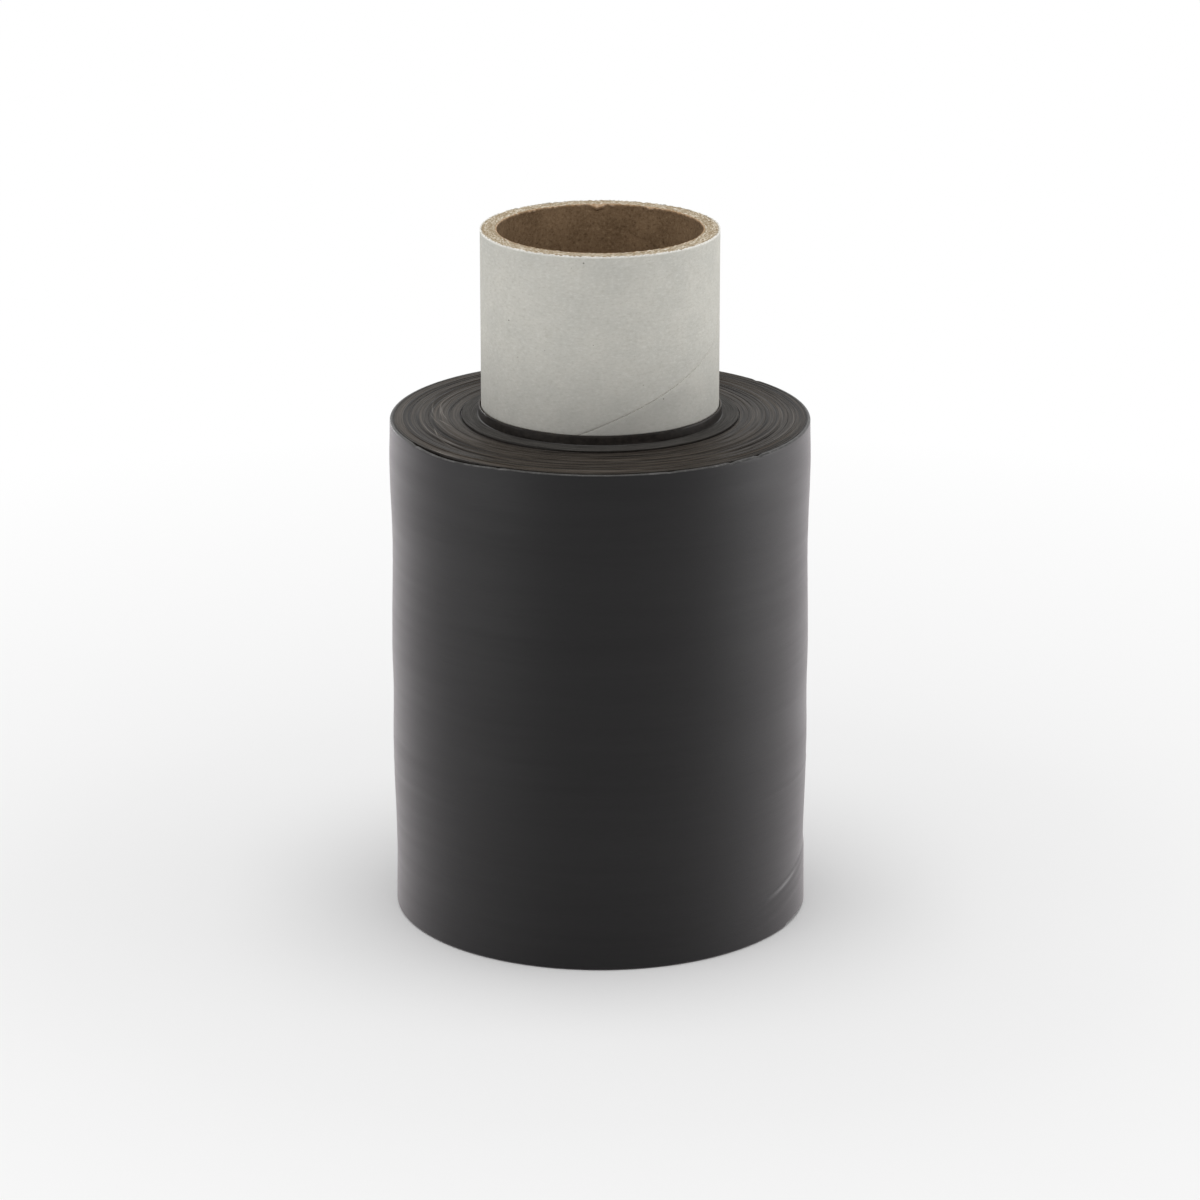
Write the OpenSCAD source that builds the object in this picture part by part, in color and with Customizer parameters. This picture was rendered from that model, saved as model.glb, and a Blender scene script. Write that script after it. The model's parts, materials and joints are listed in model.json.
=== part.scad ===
// Hand roll of black stretch film, wound on a spiral paperboard core that stands out at one end.
// The roll stands on its end: +Z is the roll's axis, and the origin is the middle of the end it stands on.

/* [Core] */
// Inside diameter of the core, which a shaft or a hand grip goes through
core_bore_d = 50; // [30:0.5:78]
// Thickness of the brown board, without the outer ply
board_t = 3.55; // [2:0.05:10]
// Length of core that stands out above the film
core_proj = 47; // [5:1:150]

/* [Outer ply] */
// Thickness of the grey paper ply round the board
ply_t = 0.4; // [0.25:0.05:1]
// Width of the paper strip that the ply is wound from
ply_strip_w = 71.5; // [40:0.5:160]
// Gap between the edges of two turns of the strip
seam_gap = 0.3; // [0.2:0.05:1]
// Height above the film at which the seam passes the front of the core
seam_front_rise = 5.3; // [-20:0.1:40]
// Glue line between the board and the ply
glue_t = 0.05; // [0.05:0.05:0.2]

/* [Film] */
// Air left between the ply and the first turn of film
first_turn_gap = 0.1; // [0.05:0.05:0.3]
// Width of the film web, the same for every turn
film_w = 125; // [60:1:500]
// Radial depth of film wound on the core
film_build = 22.15; // [14:0.05:100]
// Radius of the roll's two outer rims
rim_r = 0.5; // [0.2:0.1:1.5]
// How far the outer turns swell and sink about their mean radius
band_depth = 0.45; // [0:0.05:0.6]
// Radial width of the outermost turns, whose flush edges the roll stands on
flush_w = 3; // [2:0.25:6]

/* [Turns shifted along the roll] */
// Radial depth of the first turns, which stand up round the core as a collar
collar_t = 0.5; // [0.3:0.05:1.5]
// Height of the collar above the start ring
collar_rise = 2.4; // [0.5:0.1:6]
// Radial width of the smooth start ring outside the collar
start_ring_w = 4; // [2:0.25:6]
// How far the start ring is shifted along the roll
start_ring_lift = 0.9; // [0.4:0.1:2]
// Width of the groove between the start ring and the main turns
groove_w = 0.4; // [0.3:0.05:0.8]
// How far the turns in the groove are shifted along the roll
groove_lift = 0.1; // [0:0.05:0.3]
// How far the innermost main turns are shifted along the roll, falling to none at the rim
cone_lift = 0.45; // [0:0.05:1.5]
// Mean radial width of one bundle of turns
bundle_w = 0.8; // [0.5:0.05:2]
// Most that one bundle is shifted past its neighbours
bundle_shift = 0.25; // [0.05:0.05:0.6]

/* [Hidden] */
$fn = 96;

core_len = film_w + core_proj;
bore_r = core_bore_d / 2;
board_r = bore_r + board_t;
ply_r = board_r + glue_t;
core_r = ply_r + ply_t;
film_bore_r = core_r + first_turn_gap;
film_r = film_bore_r + film_build;

// The seam climbs one strip width, measured square to the strip, in each turn round the core
seam_climb = asin(ply_strip_w / (2 * PI * core_r));
seam_lead = 2 * PI * core_r * tan(seam_climb);
seam_height = seam_gap / cos(seam_climb);
seam_front = film_w + seam_front_rise;
seam_steps = 40;
// The cutter reaches past both faces of the ply, by twice as far as its flats fall short of the arc
seam_over = 2 * core_r * (1 - cos(180 / seam_steps));
front_angle = -90;

// Radii of the film's section, from the core outward
collar_r = film_bore_r + collar_t;
ring_r = collar_r + start_ring_w;
main_r = ring_r + groove_w;
flush_r = film_r - flush_w;
// A bundle's side leans over this much of its width
lean = 0.2;
fewest_bundles = 4;
bundle_n = max(fewest_bundles, round((flush_r - main_r) / bundle_w));
bundle_seed = 7;
// The narrowest and the widest bundle, as shares of the mean width
bundle_spread = [0.5, 1.5];
bundle_widths = rands(bundle_spread[0], bundle_spread[1], bundle_n, bundle_seed);
bundle_shifts = rands(0, bundle_shift, bundle_n, bundle_seed + 1);
rim_steps = 3;
// Each band of the outer face: its height as a share of the web, and its swell as a share of the depth
bands = [[0, -0.6], [0.1, -1], [0.34, 0.4], [0.45, -0.1], [0.54, 0.4], [0.75, -0.45], [0.92, 0.65], [1, 0.1]];
band_steps = 3;

function total(v, n) = n == 0 ? 0 : v[n - 1] + total(v, n - 1);

// Inner edge of bundle i, whose widths together fill the face from the groove to the flush turns
function bundle_r(i) =
    main_r + (flush_r - main_r) * total(bundle_widths, i) / total(bundle_widths, bundle_n);
function bundle_lift(i) = cone_lift * (1 - (i + 0.5) / bundle_n) + bundle_shifts[i];
function bundle_lean(i) = lean * (bundle_r(i + 1) - bundle_r(i));

// One end of the winding from the core to the flush turns, as radius and shift along the roll
end_face = concat(
    [
        [film_bore_r, start_ring_lift + collar_rise],
        [collar_r, start_ring_lift + collar_rise],
        [collar_r, start_ring_lift],
        [ring_r, start_ring_lift],
        [ring_r, groove_lift],
        [main_r, groove_lift],
    ],
    [
        for (i = [0 : bundle_n - 1], side = [0, 1])
            [side == 0 ? bundle_r(i) + bundle_lean(i) : bundle_r(i + 1) - bundle_lean(i), bundle_lift(i)]
    ],
    [[flush_r, 0]]
);

// Mean radius at a height, eased from band to band by half a cosine wave
function eased(a, b, t) = a + (b - a) * (1 - cos(180 * t)) / 2;
function band_r(k, t) = film_r + band_depth * eased(bands[k][1], bands[k + 1][1], t);
function band_z(k, t) = rim_r + (film_w - 2 * rim_r) * (bands[k][0] + (bands[k + 1][0] - bands[k][0]) * t);
outer_face = [
    for (k = [0 : len(bands) - 2], s = [0 : band_steps - 1])
        [band_r(k, s / band_steps), band_z(k, s / band_steps)]
];
last_band = len(bands) - 2;
bottom_rim_r = band_r(0, 0) - rim_r;
top_rim_r = band_r(last_band, 1) - rim_r;
bottom_rim = [
    for (s = [0 : rim_steps - 1])
        [bottom_rim_r + rim_r * sin(90 * s / rim_steps), rim_r * (1 - cos(90 * s / rim_steps))]
];
top_rim = [
    for (s = [0 : rim_steps])
        [top_rim_r + rim_r * cos(90 * s / rim_steps), film_w - rim_r * (1 - sin(90 * s / rim_steps))]
];

function raised(points, z) = [for (p = points) [p[0], p[1] + z]];
function reversed(points) = [for (i = [len(points) - 1 : -1 : 0]) points[i]];

module tube(inner_r, outer_r, height) {
    rotate_extrude()
        translate([inner_r, 0])
            square([outer_r - inner_r, height]);
}

// Four corners of the seam's section at one angle round the core
function seam_ring(a) = [
    for (corner = [[-1, -1], [1, -1], [1, 1], [-1, 1]])
        let (
            r = corner[0] < 0 ? ply_r - seam_over : core_r + seam_over,
            z = seam_front + seam_lead * (a - front_angle) / 360 + corner[1] * seam_height / 2
        )
        [r * cos(a), r * sin(a), z]
];

// Helical cutter for the butt joint between two turns of the paper strip
module seam_cutter() {
    first = front_angle - 360 * (seam_front + seam_height) / seam_lead;
    last = front_angle + 360 * (core_len - seam_front + seam_height) / seam_lead;
    steps = ceil(seam_steps * (last - first) / 360);
    rings = [for (i = [0 : steps]) seam_ring(first + (last - first) * i / steps)];
    sides = [
        for (i = [0 : steps - 1], j = [0 : 3], half = [0, 1])
            let (a = 4 * i + j, b = 4 * i + (j + 1) % 4)
            half == 0 ? [a, b, a + 4] : [b, b + 4, a + 4]
    ];
    ends = [[3, 2, 1, 0], [for (j = [0 : 3]) 4 * steps + j]];
    polyhedron(points = [for (ring = rings, p = ring) p], faces = concat(sides, ends));
}

// Brown spiral board, with the bore right through it
module core_tube() {
    color([0.62, 0.52, 0.40])
        tube(bore_r, board_r, core_len);
}

// Grey paper strip wound over the board, edge to edge
module core_outer_ply() {
    color([0.71, 0.70, 0.67])
        difference() {
            tube(ply_r, core_r, core_len);
            seam_cutter();
        }
}

// All the turns of film, as one solid: every web is as wide as the next, so a turn shifted
// out at one end is sunk as far at the other
module film_winding() {
    color([0.13, 0.13, 0.135])
        rotate_extrude()
            polygon(concat(end_face, bottom_rim, outer_face, top_rim, raised(reversed(end_face), film_w)));
}

core_tube();
core_outer_ply();
film_winding();
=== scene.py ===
"""The looks of a roll of black stretch film on a paperboard core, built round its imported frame.

Lengths are in metres unless a name says otherwise. Angles go round the roll's axis from +X towards +Y,
so the front is at -90 degrees.
"""

import json
import math

import bmesh
import bpy
import numpy as np
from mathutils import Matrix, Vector


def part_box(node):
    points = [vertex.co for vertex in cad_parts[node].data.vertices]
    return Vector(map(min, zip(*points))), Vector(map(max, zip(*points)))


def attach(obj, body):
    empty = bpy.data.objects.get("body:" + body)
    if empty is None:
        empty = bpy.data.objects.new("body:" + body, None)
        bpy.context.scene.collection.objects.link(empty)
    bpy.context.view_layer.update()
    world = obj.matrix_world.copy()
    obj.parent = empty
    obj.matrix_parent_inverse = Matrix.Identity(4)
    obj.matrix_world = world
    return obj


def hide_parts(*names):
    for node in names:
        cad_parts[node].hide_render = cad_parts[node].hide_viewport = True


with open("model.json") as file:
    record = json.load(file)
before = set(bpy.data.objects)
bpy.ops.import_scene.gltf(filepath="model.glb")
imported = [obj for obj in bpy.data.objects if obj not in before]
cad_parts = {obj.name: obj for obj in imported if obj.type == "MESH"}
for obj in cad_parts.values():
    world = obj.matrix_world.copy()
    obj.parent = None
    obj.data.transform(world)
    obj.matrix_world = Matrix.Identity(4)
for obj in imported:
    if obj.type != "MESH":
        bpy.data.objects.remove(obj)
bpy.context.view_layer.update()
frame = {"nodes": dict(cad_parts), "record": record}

MM = 0.001
TURN = 2 * math.pi
FRONT = math.radians(-90)
# Measures of the frame that differ by less than this are the same one
CLOSE = 0.01 * MM


# Sizes, read from the frame

def corners_of(mesh):
    """The mesh's corners, a row of x, y and z for each."""
    corners = np.empty(len(mesh.vertices) * 3)
    mesh.vertices.foreach_get("co", corners)
    return corners.reshape(-1, 3)


def profile(node):
    """Each radius and height of the CAD node's corners, from the axis outward."""
    corners = corners_of(frame["nodes"][node].data)
    radii = np.hypot(corners[:, 0], corners[:, 1])
    pairs = np.unique(np.round(np.stack([radii, corners[:, 2]], axis=1), 6), axis=0)
    return pairs[np.lexsort((-pairs[:, 1], pairs[:, 0]))]


mounts = {mount["name"]: mount for mount in frame["record"]["mounts"]}
BORE_R = mounts["core_bore"]["dims"]["r_mm"] * MM
BOARD_R = profile("core_tube")[-1, 0]
PAPER_BORE_R = profile("core_outer_ply")[0, 0]
CORE_R = profile("core_outer_ply")[-1, 0]
CORE_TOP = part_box("core_tube")[1].z

film = profile("film_winding")
upper = film[film[:, 1] > film[0, 1] / 2]
FILM_BORE_R, COLLAR_TOP = upper[0]
FILM_R = film[-1, 0]
COLLAR_R = upper[upper[:, 1] > COLLAR_TOP - CLOSE, 0].max()
RING_TOP = upper[abs(upper[:, 0] - COLLAR_R) < CLOSE, 1].min()
RING_R = upper[abs(upper[:, 1] - RING_TOP) < CLOSE, 0].max()
GROOVE_TOP = upper[abs(upper[:, 0] - RING_R) < CLOSE, 1].min()
MAIN_R = upper[upper[:, 0] > RING_R + CLOSE, 0].min()
FILM_W = upper[upper[:, 0] > FILM_R - MM, 1].max()

# The wall's corners lie within WALL_DEPTH of the largest radius, and the end stops END_MARGIN short of it
WALL_DEPTH = 1.2 * MM
END_MARGIN = 0.7 * MM
wall_points = film[film[:, 0] > FILM_R - WALL_DEPTH]
wall_points = wall_points[np.argsort(wall_points[:, 1])]
end_points = upper[(upper[:, 0] > MAIN_R - CLOSE) & (upper[:, 0] < FILM_R - END_MARGIN)]

# The grey paper strip's helix, as in the CAD: where its seam passes the front, and its climb in a turn
SEAM_FRONT = 130.3 * MM
SEAM_LEAD = 77.9 * MM
# How far the kraft strip inside the core climbs in a turn
KRAFT_LEAD = 61 * MM


def wall_r(height):
    """Radius of the film's outer face at a height."""
    return np.interp(height, wall_points[:, 1], wall_points[:, 0])


def end_height(radius):
    """Height of the film's upper end, from the groove outward, at a radius."""
    return np.interp(radius, end_points[:, 0], end_points[:, 1])


# Shapes of waves and steps

def away(angle, centre):
    """How far an angle lies from a centre, the short way round, from -pi to pi."""
    return (angle - centre + math.pi) % TURN - math.pi


def hump(distance, width):
    """1 in the middle, falling smoothly to 0 at width away."""
    return np.where(abs(distance) < width, 0.5 + 0.5 * np.cos(math.pi * distance / width), 0.0)


def ease(start, end, value):
    """0 before start, 1 after end, and smooth between them."""
    share = np.clip((value - start) / (end - start), 0, 1)
    return share * share * (3 - 2 * share)


def ripples(angles, rows, orders, seed, blur=0):
    """Random waves round the axis with no seam, a row at a time. Rows are alike over about blur rows."""
    random = np.random.RandomState(seed)
    waves = np.outer(np.arange(1, orders + 1), angles)
    weights = random.normal(size=(rows + 4 * blur, 2 * orders)) / math.sqrt(orders)
    kernel = np.exp(-0.5 * (np.arange(-2 * blur, 2 * blur + 1) / max(blur, 1)) ** 2)
    kernel /= math.sqrt((kernel ** 2).sum())
    weights = np.stack([np.convolve(column, kernel, mode="valid") for column in weights.T], axis=1)
    return weights @ np.concatenate([np.cos(waves), np.sin(waves)])


def row_noise(rows, seed):
    """One random number for each row."""
    return np.random.RandomState(seed).normal(size=(rows, 1))


# Meshes

def even_angles(count):
    return np.arange(count) * TURN / count


FINE = even_angles(600)
PLAIN = even_angles(384)
# Edges that turn by more degrees than this are shaded as sharp
SHARP_ANGLE = 35


def new_piece(name, points, faces, materials, slots=None, sharp_angle=SHARP_ANGLE):
    """A mesh object with its materials, smooth but for its sharp edges."""
    mesh = bpy.data.meshes.new(name)
    mesh.from_pydata(points, [], faces)
    for material in materials:
        mesh.materials.append(material)
    if slots is not None:
        mesh.polygons.foreach_set("material_index", slots)
    mesh.polygons.foreach_set("use_smooth", [True] * len(faces))
    mesh.set_sharp_from_angle(angle=math.radians(sharp_angle))
    mesh.update()
    piece = bpy.data.objects.new(name, mesh)
    bpy.context.scene.collection.objects.link(piece)
    return piece


def grid_faces(corners, count):
    """Faces from the rows and columns of their four corners, in a grid that has count corners in a row."""
    return np.stack([row * count + column for row, column in corners], axis=2).reshape(-1, 4).tolist()


def lathe(name, angles, rows, materials, sharp_angle=SHARP_ANGLE):
    """A closed ring from rows of (radius, height, material number), each the same or an array round the axis.

    The rows go round the section: up the inner face, outward over the top and down the outer face.
    A row's material is that of the strip from it to the next row.
    """
    count = len(angles)
    radii = np.stack([np.broadcast_to(row[0], angles.shape) for row in rows])
    heights = np.stack([np.broadcast_to(row[1], angles.shape) for row in rows])
    points = np.stack([radii * np.cos(angles), radii * np.sin(angles), heights], axis=2).reshape(-1, 3)
    row, column = np.meshgrid(np.arange(len(rows)), np.arange(count), indexing="ij")
    next_row, next_column = (row + 1) % len(rows), (column + 1) % count
    corners = [(row, column), (next_row, column), (next_row, next_column), (row, next_column)]
    slots = np.repeat([row[2] for row in rows], count)
    return new_piece(name, points.tolist(), grid_faces(corners, count), materials, slots, sharp_angle)


def dress(piece, node):
    """Ties a finished piece to the frame."""
    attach(piece, "root")
    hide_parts(node)


# Materials

def linear(*levels):
    """A colour given in levels from 0 to 255, as the shader takes it."""
    shares = [level / 255 for level in levels]
    return [s / 12.92 if s <= 0.04045 else ((s + 0.055) / 1.055) ** 2.4 for s in shares] + [1.0]


# The share of a speck's radius that has its full colour
SPECK_CORE = 0.6


class Shader:
    """A material's nodes, with a short call for each kind that the materials here use."""

    def __init__(self, name, **constants):
        self.material = bpy.data.materials.new(name)
        self.material.use_nodes = True
        self.tree = self.material.node_tree
        self.surface = self.tree.nodes["Principled BSDF"]
        for socket, value in constants.items():
            self.surface.inputs[socket.replace("_", " ")].default_value = value
        place = self.tree.nodes.new("ShaderNodeTexCoord").outputs["Object"]
        self.mm = self.scaled(place, 1 / MM)
        self.x, self.y, self.z = self.split(self.mm)
        squares = [self.maths("MULTIPLY", side, side) for side in (self.x, self.y)]
        self.radius = self.maths("SQRT", self.maths("ADD", *squares))

    def node(self, kind, inputs, output=0, **settings):
        """A new node, with its inputs linked or set. The answer is one of its outputs."""
        made = self.tree.nodes.new(kind)
        for setting, value in settings.items():
            setattr(made, setting, value)
        for key, value in inputs.items():
            if isinstance(value, bpy.types.NodeSocket):
                self.tree.links.new(value, made.inputs[key])
            else:
                made.inputs[key].default_value = value
        return made.outputs[output]

    def maths(self, operation, a, b=0.0):
        return self.node("ShaderNodeMath", {0: a, 1: b}, operation=operation)

    def scaled(self, vector, factors):
        factors = factors if isinstance(factors, tuple) else (factors,) * 3
        return self.node("ShaderNodeVectorMath", {0: vector, 1: factors}, operation="MULTIPLY")

    def split(self, vector):
        parts = self.tree.nodes.new("ShaderNodeSeparateXYZ")
        self.tree.links.new(vector, parts.inputs[0])
        return parts.outputs

    def polar(self, along, around):
        """The radius times along, and the direction round the axis times around, which has no seam."""
        cosine = self.maths("DIVIDE", self.x, self.radius)
        sine = self.maths("DIVIDE", self.y, self.radius)
        parts = {
            0: self.maths("MULTIPLY", self.radius, along),
            1: self.maths("MULTIPLY", cosine, around),
            2: self.maths("MULTIPLY", sine, around),
        }
        return self.node("ShaderNodeCombineXYZ", parts)

    def across_strip(self, lead, start=0.0):
        """How far across its turn of a spiral strip a point lies: 0 just over a joint, 1 just under the next.

        The joint passes +X at the height start, and climbs by lead in a turn, both in mm.
        """
        turn = self.maths("DIVIDE", self.maths("ARCTAN2", self.y, self.x), TURN)
        climb = self.maths("DIVIDE", self.maths("SUBTRACT", self.z, start), lead)
        return self.maths("FRACT", self.maths("SUBTRACT", climb, turn))

    def noise(self, vector, scale, detail=3.0, roughness=0.5):
        inputs = {"Vector": vector, "Scale": scale, "Detail": detail, "Roughness": roughness}
        return self.node("ShaderNodeTexNoise", inputs)

    def specks(self, density, size):
        """1 in small dots, 0 elsewhere. The dots' size is a share of their spacing."""
        distance = self.node("ShaderNodeTexVoronoi", {"Vector": self.mm, "Scale": density, "Randomness": 1.0})
        return self.ranged(distance, SPECK_CORE * size, size, 1.0, 0.0)

    def ramp(self, value, stops):
        """A colour from a value, through stops of (place, colour)."""
        made = self.tree.nodes.new("ShaderNodeValToRGB")
        elements = made.color_ramp.elements
        while len(elements) < len(stops):
            elements.new(0.5)
        for element, (place, colour) in zip(elements, stops):
            element.position = place
            element.color = colour
        self.tree.links.new(value, made.inputs[0])
        return made.outputs[0]

    def mixed(self, share, a, b):
        """Colour a with a share of colour b."""
        made = self.tree.nodes.new("ShaderNodeMix")
        made.data_type = "RGBA"
        for key, value in zip(("Factor_Float", "A_Color", "B_Color"), (share, a, b)):
            socket = next(s for s in made.inputs if s.identifier == key)
            if isinstance(value, bpy.types.NodeSocket):
                self.tree.links.new(value, socket)
            else:
                socket.default_value = value
        return next(s for s in made.outputs if s.identifier == "Result_Color")

    def ranged(self, value, low, high, to_low, to_high):
        """A value's range mapped to another, and held at its ends."""
        inputs = {"Value": value, "From Min": low, "From Max": high, "To Min": to_low, "To Max": to_high}
        return self.node("ShaderNodeMapRange", inputs)

    def attribute(self, name):
        return self.node("ShaderNodeAttribute", {}, output=2, attribute_name=name)

    def finish(self, colour=None, roughness=None, height=None, height_mm=0.02):
        """Links what varies over the surface, and gives the material."""
        if colour is not None:
            self.tree.links.new(colour, self.surface.inputs["Base Color"])
        if roughness is not None:
            self.tree.links.new(roughness, self.surface.inputs["Roughness"])
        if height is not None:
            inputs = {"Height": height, "Distance": height_mm * MM, "Strength": 1.0}
            bump = self.node("ShaderNodeBump", inputs)
            self.tree.links.new(bump, self.surface.inputs["Normal"])
        return self.material


# Heights over the film, in mm, between which the paper's painted shade near the film and the dark tone under
# its seam fade out
PAINTED_SHADE_MM = (2, 24)
SEAM_TONE_MM = (10, 14)
# Places across the strip, from 0 at its lower edge to 1 at its upper edge, between which that tone sets in
SEAM_TONE_ACROSS = (0.88, 0.98)
# Depths under the core's top, in mm, between which the paper's white lip fades out. The lip is whitish frayed
# fibre, partly a painted highlight where the edge catches the light
LIP_MM = (0.2, 0.6)


def paper_material():
    """Matt grey core paper: clouds, fibres, a few dark specks, painted shade near the film, a white lip that
    is partly a painted highlight.
    """
    shader = Shader("core_paper", Specular_IOR_Level=0.08)
    clouds = shader.noise(shader.mm, 0.12, detail=5.0, roughness=0.6)
    colour = shader.ramp(clouds, [(0.3, linear(189, 188, 181)), (0.7, linear(199, 197, 189))])
    fibres = shader.noise(shader.scaled(shader.mm, (1.0, 1.0, 2.0)), 0.9, detail=6.0, roughness=0.74)
    colour = shader.mixed(shader.ranged(fibres, 0.52, 0.66, 0.0, 0.5), colour, linear(172, 169, 159))
    colour = shader.mixed(shader.ranged(fibres, 0.36, 0.47, 0.5, 0.0), colour, linear(211, 210, 204))
    colour = shader.mixed(shader.specks(0.12, 0.025), colour, linear(84, 78, 68))
    colour = shader.mixed(shader.specks(0.2, 0.034), colour, linear(140, 135, 124))
    film_top = FILM_W / MM
    # Painted shade: the paper is darkened near the film, where the film's shade falls on it
    darker_grey = linear(146, 144, 140)
    painted_shade = shader.ranged(shader.z, film_top + PAINTED_SHADE_MM[0], film_top + PAINTED_SHADE_MM[1], 0.37, 0.0)
    colour = shader.mixed(painted_shade, colour, darker_grey)
    # The seam passes +X a quarter of a turn after the front
    across = shader.across_strip(SEAM_LEAD / MM, (SEAM_FRONT + SEAM_LEAD / 4) / MM)
    under = shader.ranged(across, SEAM_TONE_ACROSS[0], SEAM_TONE_ACROSS[1], 0.0, 0.3)
    low = shader.ranged(shader.z, film_top + SEAM_TONE_MM[0], film_top + SEAM_TONE_MM[1], 1.0, 0.0)
    colour = shader.mixed(shader.maths("MULTIPLY", under, low), colour, darker_grey)
    grain = shader.noise(shader.mm, 2.6, detail=5.0, roughness=0.7)
    core_top = CORE_TOP / MM
    # The white lip: whitish fibres along the top edge, partly a painted highlight
    lip = shader.ranged(shader.z, core_top - LIP_MM[1], core_top - LIP_MM[0], 0.0, 1.0)
    lip = shader.maths("MULTIPLY", lip, shader.ranged(grain, 0.4, 0.55, 0.2, 1.0))
    colour = shader.mixed(lip, colour, linear(240, 238, 232))
    return shader.finish(colour, shader.ranged(grain, 0.3, 0.7, 0.74, 0.9), grain, height_mm=0.1)


def cut_paper_material():
    """The whitish, fibrous cut edge of the core paper."""
    shader = Shader("cut_paper", Specular_IOR_Level=0.2, Roughness=0.9)
    fibres = shader.noise(shader.mm, 2.2, detail=4.0, roughness=0.7)
    stops = [(0.36, linear(160, 150, 130)), (0.47, linear(226, 222, 212)), (0.6, linear(250, 248, 242))]
    return shader.finish(shader.ramp(fibres, stops), None, fibres, height_mm=0.1)


def kraft_material():
    """The dark kraft paper inside the core, with its fibres and the joint of its own spiral strip."""
    shader = Shader("kraft", Specular_IOR_Level=0.2)
    clouds = shader.noise(shader.mm, 0.16, detail=4.0, roughness=0.6)
    colour = shader.ramp(clouds, [(0.3, linear(132, 108, 81)), (0.7, linear(160, 133, 103))])
    fibres = shader.noise(shader.mm, 1.3, detail=6.0, roughness=0.85)
    colour = shader.mixed(shader.ranged(fibres, 0.52, 0.64, 0.0, 0.7), colour, linear(186, 160, 127))
    colour = shader.mixed(shader.ranged(fibres, 0.36, 0.47, 0.7, 0.0), colour, linear(82, 64, 46))
    across = shader.across_strip(KRAFT_LEAD / MM)
    joint = shader.maths("ABSOLUTE", shader.maths("SUBTRACT", across, 0.5))
    line = shader.ranged(joint, 0.0, 0.006, 1.0, 0.0)
    colour = shader.mixed(shader.maths("MULTIPLY", line, 0.2), colour, linear(96, 76, 55))
    grain = shader.noise(shader.mm, 2.2, detail=4.0, roughness=0.7)
    height = shader.maths("SUBTRACT", grain, shader.maths("MULTIPLY", line, 0.15))
    return shader.finish(colour, shader.ranged(grain, 0.3, 0.7, 0.75, 0.92), height, height_mm=0.08)


def cut_board_material():
    """The sawn end of the board: pale tan fibres in rings of ply, with an orange-brown line at the bore."""
    shader = Shader("cut_board", Specular_IOR_Level=0.2, Roughness=0.92)
    fibres = shader.noise(shader.polar(1.0, 10.0), 2.3, detail=5.0, roughness=0.72)
    stops = [(0.34, linear(130, 109, 82)), (0.5, linear(188, 172, 146)), (0.63, linear(240, 233, 218))]
    colour = shader.ramp(fibres, stops)
    plies = shader.noise(shader.polar(1.0, 1.6), 2.2, detail=2.0)
    colour = shader.mixed(shader.ranged(plies, 0.5, 0.62, 0.0, 0.65), colour, linear(152, 131, 101))
    bore = BORE_R / MM
    line = shader.ranged(shader.radius, bore + 0.1, bore + 0.35, 0.65, 0.0)
    colour = shader.mixed(line, colour, linear(194, 156, 118))
    return shader.finish(colour, None, fibres, height_mm=0.3)


def board_face_material():
    """The board's outer face, which shows through the seam of the paper."""
    shader = Shader("board_face", Specular_IOR_Level=0.2, Roughness=0.9)
    fibres = shader.noise(shader.mm, 1.5, detail=4.0, roughness=0.7)
    colour = shader.ramp(fibres, [(0.3, linear(166, 160, 148)), (0.7, linear(190, 185, 174))])
    return shader.finish(colour, None, fibres, height_mm=0.05)


def film_wall_material():
    """The smooth outer turn of black film, drawn tight, with faint lines and bands round the roll, painted
    reflection in the bands and a painted highlight along the crease.
    """
    shader = Shader(
        "film_wall",
        Specular_IOR_Level=0.22,
        Sheen_Weight=0.5,
        Sheen_Roughness=0.45,
        Sheen_Tint=(1.0, 0.93, 0.96, 1.0),
    )
    drawn = shader.noise(shader.scaled(shader.mm, (0.02, 0.02, 1.0)), 5.0, detail=2.0, roughness=0.6)
    bands = shader.noise(shader.scaled(shader.mm, (0.012, 0.012, 0.16)), 1.0, detail=4.0, roughness=0.65)
    # Painted reflection: the bands make the black a little lighter and darker, as the light and dark bands
    # the wall reflects; they also set its roughness
    colour = shader.ramp(bands, [(0.35, linear(2, 2, 3)), (0.65, linear(8, 8, 9))])
    # Painted highlight: the line along the uppermost crease is lightened where its ridge would catch the
    # light
    colour = shader.mixed(shader.attribute("pale_marks_and_highlights"), colour, linear(120, 119, 119))
    roughness = shader.ranged(bands, 0.35, 0.65, 0.5, 0.4)
    return shader.finish(colour, roughness, drawn, height_mm=0.02)


def film_edge_material():
    """The end of the winding, where the edges of the turns make fine rings of grey and brown-black."""
    shader = Shader("film_edge", Specular_IOR_Level=0.035)
    rings = shader.noise(shader.polar(1.0, 0.7), 3.8, detail=3.0, roughness=0.7)
    bands = shader.noise(shader.polar(0.6, 0.35), 1.8, detail=3.0, roughness=0.6)
    stops = [(0.35, linear(30, 27, 25)), (0.5, linear(53, 48, 43)), (0.65, linear(76, 69, 62))]
    colour = shader.ramp(bands, stops)
    colour = shader.mixed(shader.ranged(rings, 0.5, 0.66, 0.0, 0.45), colour, linear(102, 97, 91))
    colour = shader.mixed(shader.ranged(rings, 0.36, 0.49, 0.6, 0.0), colour, linear(11, 10, 9))
    colour = shader.mixed(shader.attribute("pale_marks_and_highlights"), colour, linear(176, 169, 161))
    roughness = shader.ranged(rings, 0.3, 0.7, 0.3, 0.4)
    return shader.finish(colour, roughness, rings, height_mm=0.06)


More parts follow.
